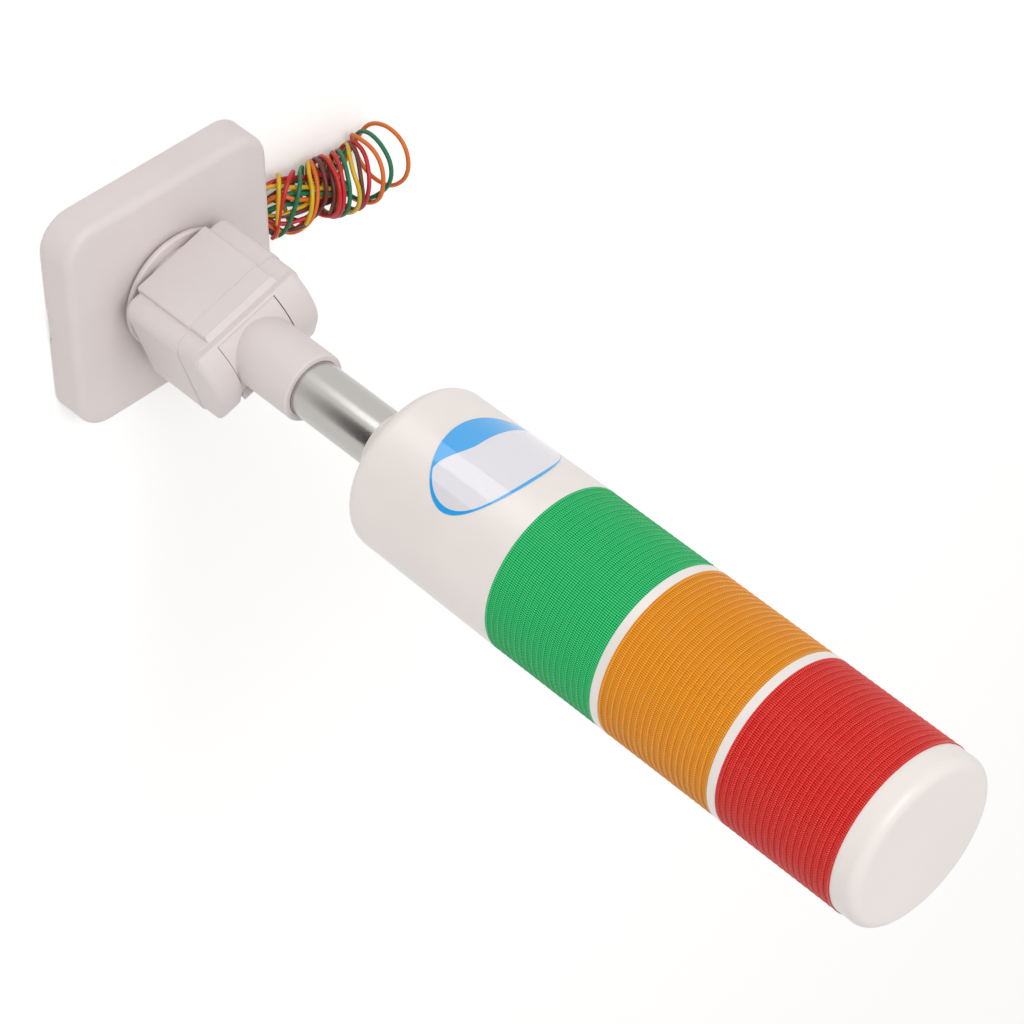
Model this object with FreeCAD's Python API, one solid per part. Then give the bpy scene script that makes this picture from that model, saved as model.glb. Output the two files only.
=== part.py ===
import FreeCAD, Part
import math
import os

# Stack light with three lenses on a folding bracket.  Millimetres, +Z up the pole.
# Origin: centre of the square base, on the surface that it is screwed to.
# The visible sides of the base face -Y and +X; the wires leave under the -X side.

Vector = FreeCAD.Vector
seam_angle = 53.0

# ---- driving dimensions ----------------------------------------------------------

# base cover: a square shell that hides the mounting screws
cover_side = 71.0
cover_corner = 10.0
cover_height = 11.3
cover_edge_round = 2.5
cover_wall = 2.2
cover_roof = 2.2
pry_notch_width = 11.0
pry_notch_height = 0.8
wire_notch_width = 12.0
wire_notch_height = 3.6

# mounting base: a screwed flange with the round boss that carries the bracket; the boss
# has a rim, and a narrower neck where it passes through the cover
flange_clearance = 0.4
flange_thickness = 2.6
boss_radius = 18.6
boss_top = 14.2
boss_edge_round = 0.7
boss_rim_thickness = 1.3
neck_radius = 16.8
boss_wall = 2.2
boss_web = 3.0
boss_clearance = 0.3
screw_spacing = 46.0
mounting_hole_radius = 2.2

# swivel: a hollow stud through the boss
stud_radius = 6.0
stud_bore_radius = 3.6
stud_head_radius = 8.5
stud_head_thickness = 2.2
stud_clearance = 0.05
swivel_gap = 0.1
swivel_washer_thickness = 0.8
swivel_washer_radius = 9.5
swivel_nut_across = 18.0
swivel_nut_thickness = 3.2
swivel_stud_tail = 0.6

# bracket body, in a frame turned about the pole
bracket_turn = 16.5
bracket_half_width = 19.5
bracket_offset = -0.5
bracket_low_round = 1.5
bracket_front = 15.0
bracket_floor = 2.6
foot_radius = 15.2
foot_height = 2.0
bracket_corner = 4.0
panel_half_width = 13.0
panel_proud = 1.4
panel_corner = 0.8
cover_inset = 0.3
front_web = 3.4
panel_chamfer = 1.6
split_over_hinge = 5.5
front_over_hinge = 13.0

# hinge, across the bracket
ear_radius = 18.2
ear_edge_round = 2.4
ear_slope_angle = 63.4
ear_back_round = 3.0
slot_half_width = 10.7
drum_gap = 0.25
drum_radius = 17.6
drum_hub_radius = 11.0
hub_floor_gap = 2.1
drum_front_gap = 0.3
drum_back_angle = 50.0
heel_radius = 19.6
heel_angle = 64.0
bolt_radius = 3.0
bolt_clearance = 0.05
bolt_head_radius = 5.0
bolt_head_thickness = 3.4
bolt_socket_across = 5.0
bolt_socket_depth = 2.2
head_pocket_clearance = 0.4
hinge_nut_across = 10.0
hinge_nut_thickness = 4.8
nut_pocket_clearance = 0.15
washer_radius = 8.2
washer_thickness = 0.6
washer_clearance = 0.05

# screws that hold the two halves of the bracket
bracket_screw_radius = 1.5
bracket_screw_length = 25.0
bracket_screw_head_radius = 2.8
bracket_screw_head_height = 1.8
bracket_screw_x = 14.4
bracket_screw_front = 10.0
bracket_screw_back = 12.5
thread_clearance = 0.05

# pole holder and pole
sleeve_radius = 10.35
sleeve_over_hinge = 36.8
sleeve_rim_round = 0.7
pole_radius = 8.5
pole_wall = 1.0
pole_clearance = 0.08
seat_over_hinge = 13.0
wire_duct_half_x = 5.6
wire_duct_half_y = 7.2
bolt_tube_radius = 4.8

# lamp housing
housing_base = 107.2
housing_height = 54.7
housing_draft = 0.5
lamp_radius = 25.0
housing_shoulder = 4.8
housing_taper_start = 6.0
housing_wall = 2.0
housing_floor = 2.6
collar_radius = 10.8
collar_length = 8.0
locknut_across = 22.0
locknut_thickness = 4.0
pole_washer_radius = 12.5
pole_washer_thickness = 1.0
pole_tail = 1.5

# lenses and the discs between them
lens_height = 38.0
divider_thickness = 2.7
lens_wall = 2.0
lens_ribs = 18
rib_depth = 0.45
lens_land = 0.6
spigot_height = 3.0
spigot_wall = 2.4
spigot_clearance = 0.15
disc_wire_hole = 6.0
base_disc_thickness = 2.5
seal_radius = 0.6
seal_clearance = 0.03
seal_lift = 1.7

# cap
cap_height = 7.7
cap_radius = 24.75
cap_round = 3.0
cap_wall = 2.2

# tie rods
tie_rod_radius = 1.5
tie_rod_offset = 16.5
tie_rod_boss_radius = 3.8
tie_rod_boss_drop = 10.0
tie_rod_hole_clearance = 0.15
tie_nut_across = 5.5
tie_nut_thickness = 2.4
tie_rod_tail = 1.5

# lamp boards
board_thickness = 1.6
board_radius = 19.5
post_side = 14.0
post_wall = 1.2
post_height = 30.0
led_size = 3.0
led_height = 1.4
led_rows = 3

# driver board
driver_width = 36.0
driver_top_gap = 1.7
driver_lift = 5.0
driver_offset = -3.0
guide_grip = 2.0
guide_wall = 1.4
guide_clearance = 0.05
terminal_half_width = 12.5
terminal_height = 6.5
terminal_depth = 7.0
part_edge_gap = 0.5
rectifier_width = 8.0
rectifier_height = 8.0
rectifier_depth = 3.2
capacitor_radius = 4.0
capacitor_length = 8.0
capacitor_pitch = 9.0
resistor_width = 2.0
resistor_length = 5.5
resistor_depth = 1.5
resistor_pitch = 4.0

# label on the housing
label_width = 43.0
label_height = 28.0
label_angle = -93.0
label_over_base = 31.3
label_thickness = 0.15

# wires
wire_radius = 0.65
hank_start = 37.6

# heights and one radius that follow from the sizes above
bracket_foot = boss_top + swivel_gap
bracket_base = bracket_foot + foot_height
floor_top = bracket_base + bracket_floor
hinge_height = floor_top + hub_floor_gap + drum_hub_radius
split_height = hinge_height + split_over_hinge
front_top = hinge_height + front_over_hinge
sleeve_top = hinge_height + sleeve_over_hinge
pole_seat = hinge_height + seat_over_hinge
collar_base = housing_base - collar_length
housing_top = housing_base + housing_height
label_centre = housing_base + label_over_base
housing_base_radius = lamp_radius - housing_draft


# ---- shapes ----------------------------------------------------------------------

def block(x0, x1, y0, y1, z0, z1):
    """Box between two corners."""
    return Part.makeBox(x1 - x0, y1 - y0, z1 - z0, Vector(x0, y0, z0))


def rod(radius, low, high, x=0.0, y=0.0):
    """Upright cylinder between two heights."""
    return Part.makeCylinder(radius, high - low, Vector(x, y, low))


def cross_rod(radius, x0, x1, y=0.0, z=hinge_height):
    """Cylinder that lies along X, by default on the hinge axis."""
    return Part.makeCylinder(radius, x1 - x0, Vector(x0, y, z), Vector(1, 0, 0))


def ring(outer, inner, low, high):
    """Upright tube."""
    return rod(outer, low, high).cut(rod(inner, low - 1, high + 1))


def hexagon(across, centre, normal, height):
    """Hexagonal prism, standing on its centre along its normal."""
    corner = across / math.sqrt(3)
    points = []
    for k in range(7):
        angle = math.radians(60 * k)
        points.append(Vector(corner * math.cos(angle), corner * math.sin(angle), 0))
    prism = Part.Face(Part.makePolygon(points)).extrude(Vector(0, 0, height))
    prism.Placement = FreeCAD.Placement(centre, FreeCAD.Rotation(Vector(0, 0, 1), normal))
    return prism


def rounded_block(x0, x1, y0, y1, z0, z1, radius):
    """Box with its four upright edges rounded."""
    solid = block(x0, x1, y0, y1, z0, z1)
    upright = [e for e in solid.Edges if abs(e.Vertexes[0].Z - e.Vertexes[1].Z) > 1e-6]
    return solid.makeFillet(radius, upright)


def turned(points):
    """Solid of revolution about Z from a closed outline of (radius, height) points."""
    outline = [Vector(r, 0, z) for r, z in points]
    outline.append(outline[0])
    face = Part.Face(Part.makePolygon(outline))
    face.rotate(Vector(0, 0, 0), Vector(0, 0, 1), seam_angle)
    return face.revolve(Vector(0, 0, 0), Vector(0, 0, 1), 360)


def circle_edges_at(solid, height, radius):
    """Full circles of a turned solid at one height and radius."""
    found = []
    for edge in solid.Edges:
        curve = edge.Curve
        if isinstance(curve, Part.Circle) and abs(curve.Radius - radius) < 1e-4:
            if abs(curve.Center.z - height) < 1e-4:
                found.append(edge)
    return found


def with_bracket(solid):
    """Turn a solid from the bracket's own frame into the base's frame."""
    solid = solid.copy()
    solid.rotate(Vector(0, 0, 0), Vector(0, 0, 1), bracket_turn)
    return solid


def save(name, shape):
    """Write one node, as one solid or a group of separate solids."""
    shape.exportStep("parts/" + name + ".step")


# ---- base ------------------------------------------------------------------------

boss_hole_radius = neck_radius + boss_clearance
flange_half = cover_side / 2 - cover_wall - flange_clearance
web_underside = boss_top - boss_web


def base_cover():
    """Square shell, open below, that drops over the mounting base."""
    half = cover_side / 2
    shell = rounded_block(-half, half, -half, half, 0, cover_height, cover_corner)
    top = [e for e in shell.Edges if min(v.Z for v in e.Vertexes) > cover_height - 1e-6]
    shell = shell.makeFillet(cover_edge_round, top)
    inside = half - cover_wall
    hollow = rounded_block(-inside, inside, -inside, inside, -1, cover_height - cover_roof,
                           cover_corner - cover_wall)
    shell = shell.cut(hollow)
    shell = shell.cut(rod(boss_hole_radius, 0, cover_height + 1))
    pry = block(inside - 1, half + 1, -pry_notch_width / 2, pry_notch_width / 2,
                -1, pry_notch_height)
    shell = shell.cut(pry)
    wires = block(-half - 1, 1 - inside, -wire_notch_width / 2, wire_notch_width / 2,
                  -1, wire_notch_height)
    return shell.cut(wires)


def mounting_base():
    """Screwed flange with the hollow boss; a channel lets the wires out at -X."""
    inner_corner = cover_corner - cover_wall
    base = rounded_block(-flange_half, flange_half, -flange_half, flange_half,
                         0, flange_thickness, inner_corner)
    rim = rod(boss_radius, boss_top - boss_rim_thickness, boss_top)
    rim = rim.makeFillet(boss_edge_round, circle_edges_at(rim, boss_top, boss_radius))
    base = base.fuse(rod(neck_radius, 0, boss_top)).fuse(rim)
    base = base.cut(rod(neck_radius - boss_wall, -1, web_underside))
    base = base.cut(rod(stud_radius + stud_clearance, 0, boss_top + 1))
    reach = screw_spacing / 2
    for x in (-reach, reach):
        for y in (-reach, reach):
            base = base.cut(rod(mounting_hole_radius, -1, flange_thickness + 1, x, y))
    channel = block(-cover_side, 0, -wire_notch_width / 2, wire_notch_width / 2,
                    -1, wire_notch_height)
    return base.cut(channel).removeSplitter()


# ---- swivel ----------------------------------------------------------------------

stud_head_base = floor_top - stud_head_thickness
washer_top = web_underside - swivel_gap
nut_top = washer_top - swivel_washer_thickness
nut_base = nut_top - swivel_nut_thickness


def swivel_stud():
    """Hollow stud: its head lies flush in the bracket's floor, its tail takes the nut."""
    tail = nut_base - swivel_stud_tail
    stud = rod(stud_radius, tail, floor_top)
    stud = stud.fuse(rod(stud_head_radius, stud_head_base, floor_top))
    return stud.cut(rod(stud_bore_radius, tail - 1, floor_top + 1)).removeSplitter()


def swivel_nut():
    """Nut under the boss; its threads are left plain."""
    nut = hexagon(swivel_nut_across, Vector(0, 0, nut_base), Vector(0, 0, 1), swivel_nut_thickness)
    return nut.cut(rod(stud_radius + thread_clearance, 0, boss_top))


def swivel_washer():
    """Friction washer between the nut and the boss's web."""
    return ring(swivel_washer_radius, stud_radius + stud_clearance, nut_top, washer_top)


# ---- bracket ---------------------------------------------------------------------

slot_front = -(bracket_front - front_web)
nut_pocket_depth = hinge_nut_thickness + 0.2
head_face = bracket_half_width - bolt_head_thickness - 0.3


def bracket_outline(grow, low, high):
    """The bracket's blocky outside between two heights, with its raised front panel."""
    side = bracket_half_width + grow
    body = rounded_block(-side, side, -bracket_front - grow, ear_radius + grow, low, high,
                         bracket_corner)
    if low < floor_top:
        bottom = [e for e in body.Edges if max(v.Z for v in e.Vertexes) < low + 1e-6]
        body = body.makeFillet(bracket_low_round, bottom)
    panel_side = panel_half_width + grow
    face = -bracket_front - panel_proud - grow
    panel = rounded_block(-panel_side, panel_side, face, slot_front, low, high, panel_corner)
    body = body.fuse(panel)
    body.translate(Vector(bracket_offset, 0, 0))
    return body


def hinge_holes():
    """Hole for the hinge bolt, with pockets for its head and its captive nut."""
    side = bracket_half_width + 1
    holes = cross_rod(bolt_radius + bolt_clearance, -side, slot_half_width + nut_pocket_depth + 1)
    head = cross_rod(bolt_head_radius + head_pocket_clearance, -side, -head_face)
    nut = hexagon(hinge_nut_across + 2 * nut_pocket_clearance, Vector(0, 0, hinge_height),
                  Vector(1, 0, 0), slot_half_width + nut_pocket_depth)
    return holes.fuse(head).fuse(nut)


def bracket_screw_places():
    """The four screws, clear of the slot."""
    places = []
    for x in (-bracket_screw_x, bracket_screw_x):
        for y in (-bracket_screw_front, bracket_screw_back):
            places.append((x, y))
    return places


def drum_slot(low):
    """Room for the drum between the ears, open to the top and to the back."""
    return block(-slot_half_width, slot_half_width, slot_front, 2 * ear_radius,
                 low, hinge_height + 2 * ear_radius)


def ear_block(grow):
    """Both ears as one block: round over the hinge, then a slope down to the back."""
    side = bracket_half_width + grow
    radius = ear_radius + grow
    angle = math.radians(ear_slope_angle)
    rise = radius * (math.sin(angle) - (1 - math.cos(angle)) / math.tan(angle))
    top = Vector(-side, 0, hinge_height + radius)
    touch = Vector(-side, radius * math.cos(angle), hinge_height + radius * math.sin(angle))
    front = Vector(-side, -radius, hinge_height)
    back_high = Vector(-side, radius, hinge_height + rise)
    back_low = Vector(-side, radius, hinge_height)
    outline = Part.Wire([
        Part.Arc(front, top, touch).toShape(),
        Part.makeLine(touch, back_high),
        Part.makeLine(back_high, back_low),
        Part.makeLine(back_low, front)])
    ears = Part.Face(outline).extrude(Vector(2 * side, 0, 0))
    corner = [e for e in ears.Edges if abs(e.Vertexes[0].Z - back_high.z) < 1e-4
              and abs(e.Vertexes[-1].Z - back_high.z) < 1e-4]
    ears = ears.makeFillet(ear_back_round, corner)
    rims = []
    for edge in ears.Edges:
        ends = edge.Vertexes
        on_side = abs(abs(ends[0].X) - side) < 1e-4 and abs(ends[0].X - ends[-1].X) < 1e-4
        if on_side and max(v.Z for v in ends) > hinge_height + 1e-4:
            rims.append(edge)
    return ears.makeFillet(ear_edge_round, rims)


def round_back(grow):
    """Everything inside the round top and sloping back that the ears have."""
    reach = 2 * bracket_half_width
    keep = ear_block(grow)
    keep.translate(Vector(bracket_offset, 0, 0))
    keep = keep.fuse(block(-reach, reach, -2 * ear_radius, ear_radius + grow, 0, hinge_height))
    return keep.fuse(block(-reach, reach, -2 * ear_radius, 0, 0, front_top))


def bracket_body():
    """Lower half: foot, floor and side walls."""
    body = bracket_outline(0, bracket_base, split_height)
    body = body.fuse(rod(foot_radius, bracket_foot, bracket_base))
    body = body.cut(drum_slot(floor_top))
    body = body.cut(rod(stud_radius + thread_clearance, 0, floor_top))
    body = body.cut(rod(stud_head_radius + thread_clearance, stud_head_base, floor_top + 1))
    body = body.cut(hinge_holes())
    head_seat = bracket_base + bracket_screw_head_height
    for x, y in bracket_screw_places():
        body = body.cut(rod(bracket_screw_radius + thread_clearance, 0, split_height + 1, x, y))
        body = body.cut(rod(bracket_screw_head_radius + 0.2, 0, head_seat, x, y))
    return body.removeSplitter()


def bracket_cover():
    """Upper half: the two round ears, the front web and the panel's chamfered end."""
    cover = bracket_outline(-cover_inset, split_height, hinge_height + ear_radius + 5)
    cover = cover.common(round_back(-cover_inset))
    face = -bracket_front - panel_proud + cover_inset
    ramp = Part.makePolygon([
        Vector(-50, face - 1, front_top - panel_chamfer - 0.6),
        Vector(-50, face + 2.6, front_top + 1),
        Vector(-50, face - 1, front_top + 1),
        Vector(-50, face - 1, front_top - panel_chamfer - 0.6)])
    cover = cover.cut(Part.Face(ramp).extrude(Vector(100, 0, 0)))
    cover = cover.cut(drum_slot(split_height - 1))
    cover = cover.cut(hinge_holes())
    tip = bracket_base + bracket_screw_head_height + bracket_screw_length + 0.4
    for x, y in bracket_screw_places():
        cover = cover.cut(rod(bracket_screw_radius + thread_clearance, 0, tip, x, y))
    return cover.removeSplitter()


def bracket_screws():
    """Four pan head screws, driven from below."""
    seat = bracket_base + bracket_screw_head_height
    screws = []
    for x, y in bracket_screw_places():
        screw = rod(bracket_screw_radius, seat - 0.5, seat + bracket_screw_length, x, y)
        head = rod(bracket_screw_head_radius, bracket_base + 0.1, seat, x, y)
        slot = block(x - bracket_screw_head_radius, x + bracket_screw_head_radius, y - 0.3,
                     y + 0.3, 0, bracket_base + 0.9)
        screws.append(screw.fuse(head).cut(slot).removeSplitter())
    return Part.makeCompound(screws)


def hinge_bolt():
    """Socket head bolt through the drum, head in its pocket at the bracket's -X side."""
    tip = slot_half_width + nut_pocket_depth
    bolt = cross_rod(bolt_radius, -head_face - 0.5, tip)
    bolt = bolt.fuse(cross_rod(bolt_head_radius, -head_face - bolt_head_thickness, -head_face))
    socket = hexagon(bolt_socket_across,
                     Vector(-head_face - bolt_head_thickness, 0, hinge_height),
                     Vector(1, 0, 0), bolt_socket_depth)
    return bolt.cut(socket).removeSplitter()


def hinge_nut():
    """Captive nut in the +X wall."""
    nut = hexagon(hinge_nut_across, Vector(slot_half_width + 0.1, 0, hinge_height),
                  Vector(1, 0, 0), hinge_nut_thickness)
    return nut.cut(cross_rod(bolt_radius + thread_clearance, 0, 2 * bracket_half_width))


def hinge_washers():
    """Friction washers in the two faces of the drum."""
    washers = []
    outer = slot_half_width - washer_clearance
    for start in (-outer, outer - washer_thickness):
        disc = cross_rod(washer_radius, start, start + washer_thickness)
        washers.append(disc.cut(cross_rod(bolt_radius + bolt_clearance, start - 1, start + 2)))
    return Part.makeCompound(washers)


# ---- pole holder and pole --------------------------------------------------------

drum_half_width = slot_half_width - drum_gap
drum_front = slot_front + drum_front_gap


def fold_sector(radius, start_angle):
    """Part of a cylinder about the hinge, from an angle above the back up over the top."""
    disc = cross_rod(radius, -drum_half_width, drum_half_width)
    reach = 3 * radius
    angle = math.radians(start_angle)
    start = Vector(-50, reach * math.cos(angle), hinge_height + reach * math.sin(angle))
    wedge = Part.makePolygon([
        Vector(-50, 0, hinge_height), start,
        Vector(-50, start.y, hinge_height + 2 * reach),
        Vector(-50, -reach, hinge_height + 2 * reach),
        Vector(-50, -reach, hinge_height),
        Vector(-50, 0, hinge_height)])
    return disc.common(Part.Face(wedge).extrude(Vector(100, 0, 0)))


def pole_holder():
    """Drum between the ears with the sleeve that takes the pole, in one moulding."""
    drum = cross_rod(drum_hub_radius, -drum_half_width, drum_half_width)
    drum = drum.fuse(fold_sector(drum_radius, drum_back_angle))
    heel = fold_sector(heel_radius, drum_back_angle).cut(fold_sector(heel_radius + 1, heel_angle))
    drum = drum.fuse(heel)
    front = block(-50, 50, -50, drum_front, 0, 100)
    drum = drum.cut(front)
    sleeve = rod(sleeve_radius, hinge_height, sleeve_top)
    rim = circle_edges_at(sleeve, sleeve_top, sleeve_radius)
    sleeve = sleeve.makeFillet(sleeve_rim_round, rim)
    holder = drum.fuse(sleeve)
    holder = holder.cut(rod(pole_radius + pole_clearance, pole_seat, sleeve_top + 1))
    duct = block(-wire_duct_half_x, wire_duct_half_x, -wire_duct_half_y, wire_duct_half_y,
                 0, pole_seat + 1)
    tube = cross_rod(bolt_tube_radius, -50, 50)
    holder = holder.cut(duct.cut(tube))
    holder = holder.cut(cross_rod(bolt_radius + bolt_clearance, -50, 50))
    outer = slot_half_width - washer_clearance - washer_thickness - washer_clearance
    for x0, x1 in ((-50, -outer), (outer, 50)):
        holder = holder.cut(cross_rod(washer_radius + washer_clearance, x0, x1))
    return holder.removeSplitter()


housing_inside_floor = housing_base + housing_floor
pole_washer_top = housing_inside_floor + pole_washer_thickness
locknut_top = pole_washer_top + locknut_thickness
pole_top = locknut_top + pole_tail
driver_low = locknut_top + driver_lift


def pole_tube():
    """Aluminium tube from its seat in the sleeve to just above the locknut."""
    return ring(pole_radius, pole_radius - pole_wall, pole_seat, pole_top)


def pole_washer():
    """Flat washer on the housing's floor."""
    return ring(pole_washer_radius, pole_radius + pole_clearance,
                housing_inside_floor, pole_washer_top)


def pole_locknut():
    """Thin nut that clamps the housing to the pole; its threads are left plain."""
    nut = hexagon(locknut_across, Vector(0, 0, pole_washer_top), Vector(0, 0, 1),
                  locknut_thickness)
    return nut.cut(rod(pole_radius + thread_clearance, housing_base, pole_top))


# ---- lamp housing ----------------------------------------------------------------

inside_radius = lamp_radius - housing_wall
disc_radius = inside_radius - spigot_clearance
base_disc_low = housing_top - base_disc_thickness
tie_rod_low = base_disc_low - tie_rod_boss_drop - tie_nut_thickness - tie_rod_tail
driver_height = tie_rod_low - driver_top_gap - driver_low
rod_places = ((-tie_rod_offset, 0), (tie_rod_offset, 0))


def tie_rod_holes(low, high):
    """Clearance holes for the two tie rods."""
    radius = tie_rod_radius + tie_rod_hole_clearance
    holes = [rod(radius, low, high, x, y) for x, y in rod_places]
    return holes[0].fuse(holes[1])


def board_guide(side):
    """Slotted rib on the housing's wall that holds one edge of the driver board."""
    inner = driver_width / 2 - guide_grip
    outer = housing_base_radius - housing_wall / 2
    low = driver_low - guide_wall
    high = driver_low + driver_height
    face = driver_offset - guide_clearance
    back = driver_offset + board_thickness + guide_clearance
    guide = block(inner, outer, face - guide_wall, back + guide_wall, low, high)
    slot = block(0, driver_width / 2 + guide_clearance, face, back, driver_low, high + 1)
    guide = guide.cut(slot)
    if side < 0:
        guide = guide.mirror(Vector(0, 0, 0), Vector(1, 0, 0))
    return guide


def lamp_housing():
    """White lower housing with its collar, shoulder and two bosses for the tie rods."""
    lower_inside = housing_base_radius - housing_wall
    taper_base = housing_base + housing_taper_start
    shell = turned([
        (pole_radius + pole_clearance, collar_base),
        (collar_radius, collar_base),
        (collar_radius, housing_base),
        (housing_base_radius, housing_base),
        (housing_base_radius, taper_base),
        (lamp_radius, housing_top),
        (inside_radius, housing_top),
        (lower_inside, taper_base),
        (lower_inside, housing_inside_floor),
        (pole_radius + pole_clearance, housing_inside_floor)])
    shoulder = circle_edges_at(shell, housing_base, housing_base_radius)
    shell = shell.makeFillet(housing_shoulder, shoulder)
    boss_low = base_disc_low - tie_rod_boss_drop
    for x, y in rod_places:
        reach = math.copysign(inside_radius + housing_wall / 2, x)
        boss = rod(tie_rod_boss_radius, boss_low, base_disc_low, x, y)
        rib = block(min(x, reach), max(x, reach), -1.2, 1.2, boss_low, base_disc_low)
        shell = shell.fuse(boss).fuse(rib)
    for side in (-1, 1):
        shell = shell.fuse(board_guide(side))
    return shell.cut(tie_rod_holes(boss_low - 1, housing_top)).removeSplitter()


def spigot(low, high):
    """Ring that stands inside a lens."""
    outer = lens_inside - spigot_clearance
    return ring(outer, outer - spigot_wall, low, high)


def seal_height(index):
    """Height of the rubber ring at the foot of one lens."""
    return lens_base(index) + seal_lift


def seal_groove(index):
    """Groove round a spigot for its rubber ring."""
    half = seal_radius + seal_clearance
    centre = seal_height(index)
    depth = 2 * (seal_radius + seal_clearance)
    return ring(lens_inside, lens_inside - depth, centre - half, centre + half)


def base_disc():
    """Disc in the housing's mouth that carries the lowest lamp board."""
    disc = ring(disc_radius, disc_wire_hole, base_disc_low, housing_top)
    disc = disc.fuse(spigot(housing_top, housing_top + spigot_height))
    disc = disc.cut(seal_groove(0))
    return disc.cut(tie_rod_holes(housing_base, 2 * housing_top)).removeSplitter()


# ---- lenses, discs and cap -------------------------------------------------------

module_pitch = lens_height + divider_thickness
lens_names = ("green", "amber", "red")
cap_base = housing_top + len(lens_names) * module_pitch - divider_thickness
cap_top = cap_base + cap_height
lens_inside = lamp_radius - lens_wall


def lens_base(index):
    """Height of one lens's lower edge."""
    return housing_top + index * module_pitch


def lens(index):
    """Ribbed lens, open at both ends, with plain lands where it seats."""
    low = lens_base(index)
    high = low + lens_height
    pitch = (lens_height - 2 * lens_land) / lens_ribs
    outline = [(lens_inside, low), (lamp_radius, low), (lamp_radius, low + lens_land)]
    for k in range(lens_ribs):
        foot = low + lens_land + k * pitch
        outline.append((lamp_radius - rib_depth, foot + 0.2 * pitch))
        outline.append((lamp_radius, foot + pitch))
    outline.append((lamp_radius, high))
    outline.append((lens_inside, high))
    return turned(outline)


def divider_disc(index):
    """White disc between two lenses, with a spigot into each."""
    low = lens_base(index) - divider_thickness
    high = low + divider_thickness
    disc = ring(lamp_radius, disc_wire_hole, low, high)
    disc = disc.fuse(spigot(low - spigot_height, high + spigot_height))
    disc = disc.cut(seal_groove(index))
    return disc.cut(tie_rod_holes(housing_base, 2 * low)).removeSplitter()


def lens_seals():
    """Rubber rings in the spigots' grooves, one at the foot of each lens."""
    centre_line = lens_inside - seal_clearance - seal_radius
    seals = []
    for index in range(len(lens_names)):
        centre = Vector(0, 0, seal_height(index))
        seals.append(Part.makeTorus(centre_line, seal_radius, centre))
    return Part.makeCompound(seals)


def cap():
    """White end cap, flat on top with a rounded edge."""
    shell = turned([
        (0, cap_base + cap_height),
        (0, cap_top - cap_wall),
        (cap_radius - cap_wall, cap_top - cap_wall),
        (cap_radius - cap_wall, cap_base),
        (cap_radius, cap_base),
        (cap_radius, cap_top)])
    edge = circle_edges_at(shell, cap_top, cap_radius)
    shell = shell.makeFillet(cap_round, edge)
    shell = shell.fuse(spigot(cap_base - spigot_height, cap_top - cap_wall))
    for x, y in rod_places:
        shell = shell.fuse(rod(tie_rod_boss_radius, cap_base, cap_top - cap_wall, x, y))
    bore = tie_rod_radius + thread_clearance
    for x, y in rod_places:
        shell = shell.cut(rod(bore, cap_base - 1, cap_top - cap_wall, x, y))
    return shell.removeSplitter()


def tie_rods():
    """Two threaded rods from the housing's bosses into the cap."""
    high = cap_top - cap_wall - 0.3
    rods = [rod(tie_rod_radius, tie_rod_low, high, x, y) for x, y in rod_places]
    return Part.makeCompound(rods)


def tie_rod_nuts():
    """Nuts that pull the stack together, under the housing's bosses."""
    low = base_disc_low - tie_rod_boss_drop - tie_nut_thickness
    nuts = []
    for x, y in rod_places:
        nut = hexagon(tie_nut_across, Vector(x, y, low), Vector(0, 0, 1), tie_nut_thickness)
        nuts.append(nut.cut(rod(tie_rod_radius + thread_clearance, low - 1, low + 9, x, y)))
    return Part.makeCompound(nuts)


# ---- electrics -------------------------------------------------------------------

def lamp_board(index):
    """Round circuit board that lies on its disc."""
    low = lens_base(index)
    board = ring(board_radius, disc_wire_hole - 1, low, low + board_thickness)
    return board.cut(tie_rod_holes(low - 1, low + board_thickness + 1))


def led_post(index):
    """Square post of four narrow boards that stands on the lamp board."""
    low = lens_base(index) + board_thickness
    half = post_side / 2
    inner = half - post_wall
    post = block(-half, half, -half, half, low, low + post_height)
    return post.cut(block(-inner, inner, -inner, inner, low - 1, low + post_height + 1))


def leds(index):
    """Surface-mounted LEDs on the four sides of the post."""
    low = lens_base(index) + board_thickness
    step = post_height / led_rows
    half = post_side / 2
    chips = []
    for row in range(led_rows):
        centre = low + (row + 0.5) * step
        chip = block(half, half + led_height, -led_size / 2, led_size / 2,
                     centre - led_size / 2, centre + led_size / 2)
        for quarter in range(4):
            turned_chip = chip.copy()
            turned_chip.rotate(Vector(0, 0, 0), Vector(0, 0, 1), 90 * quarter)
            chips.append(turned_chip)
    return Part.makeCompound(chips)


def driver_board():
    """Upright board in the housing."""
    half = driver_width / 2
    return block(-half, half, driver_offset, driver_offset + board_thickness,
                 driver_low, driver_low + driver_height)


def driver_components():
    """Parts soldered to the driver board: terminals, rectifier, capacitors, resistors."""
    face = driver_offset + board_thickness
    terminal_low = driver_low + part_edge_gap
    terminal_top = terminal_low + terminal_height
    parts = [block(-terminal_half_width, terminal_half_width, face, face + terminal_depth,
                   terminal_low, terminal_top)]
    rectifier_x = -terminal_half_width
    rectifier_top = driver_low + driver_height - part_edge_gap
    parts.append(block(rectifier_x, rectifier_x + rectifier_width, face, face + rectifier_depth,
                       rectifier_top - rectifier_height, rectifier_top))
    can_height = terminal_top + part_edge_gap + capacitor_radius
    for k in range(2):
        can_x = rectifier_x + rectifier_width + 2 * part_edge_gap + capacitor_radius
        can_place = Vector(can_x + k * capacitor_pitch, face, can_height)
        parts.append(Part.makeCylinder(capacitor_radius, capacitor_length, can_place,
                                       Vector(0, 1, 0)))
    for k in range(len(lens_names)):
        x = k * resistor_pitch
        parts.append(block(x, x + resistor_width, face, face + resistor_depth,
                           rectifier_top - resistor_length, rectifier_top))
    return Part.makeCompound(parts)


# ---- label -----------------------------------------------------------------------

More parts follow.
